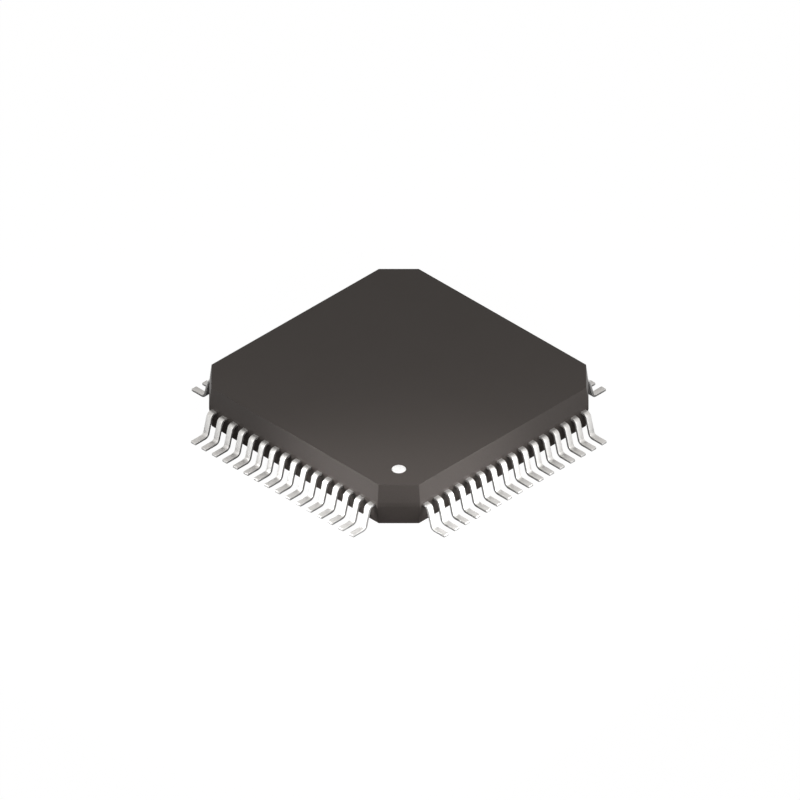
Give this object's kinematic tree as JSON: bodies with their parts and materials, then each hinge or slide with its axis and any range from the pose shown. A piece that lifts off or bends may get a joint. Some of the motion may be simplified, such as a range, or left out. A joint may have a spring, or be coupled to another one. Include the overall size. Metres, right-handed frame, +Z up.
{
  "type": "quad flat pack chip",
  "caption": "Square low-profile chip package: black moulded epoxy body with cut corners and a white corner dot, with bright gull-wing leads along every side.",
  "frame": {"origin": "centre of the footprint, on the board surface that the feet stand on", "axes": "+Z up, out of the top face; the corner of pin 1 and its dot lie towards -X and -Y; seen from above the pins count anticlockwise, 1 to 16 along -Y, 17 to 32 along +X, 33 to 48 along +Y and 49 to 64 along -X"},
  "size_m": [0.012, 0.012, 0.0017],
  "materials": {
    "moulding": "matte moulded epoxy with a very fine grain",
    "mark_ink": "flat white ink",
    "lead_plating": "matte bright tin plate on copper alloy sheet",
    "paddle_sheet": "bare copper alloy sheet",
    "die_adhesive": "silver-filled epoxy",
    "silicon": "polished silicon",
    "bond_wire": "drawn gold wire"
  },
  "bodies": {
    "root": {"mould_body": "moulding", "pin_1_mark": "mark_ink", "die_paddle": "paddle_sheet", "die_attach": "die_adhesive", "die": "silicon", "leads_01_04": "lead_plating", "leads_05_08": "lead_plating", "leads_09_12": "lead_plating", "leads_13_16": "lead_plating", "leads_17_20": "lead_plating", "leads_21_24": "lead_plating", "leads_25_28": "lead_plating", "leads_29_32": "lead_plating", "leads_33_36": "lead_plating", "leads_37_40": "lead_plating", "leads_41_44": "lead_plating", "leads_45_48": "lead_plating", "leads_49_52": "lead_plating", "leads_53_56": "lead_plating", "leads_57_60": "lead_plating", "leads_61_64": "lead_plating", "bond_wires_01_04": "bond_wire", "bond_wires_05_08": "bond_wire", "bond_wires_09_12": "bond_wire", "bond_wires_13_16": "bond_wire", "bond_wires_17_20": "bond_wire", "bond_wires_21_24": "bond_wire", "bond_wires_25_28": "bond_wire", "bond_wires_29_32": "bond_wire", "bond_wires_33_36": "bond_wire", "bond_wires_37_40": "bond_wire", "bond_wires_41_44": "bond_wire", "bond_wires_45_48": "bond_wire", "bond_wires_49_52": "bond_wire", "bond_wires_53_56": "bond_wire", "bond_wires_57_60": "bond_wire", "bond_wires_61_64": "bond_wire"}
  },
  "joints": []
}
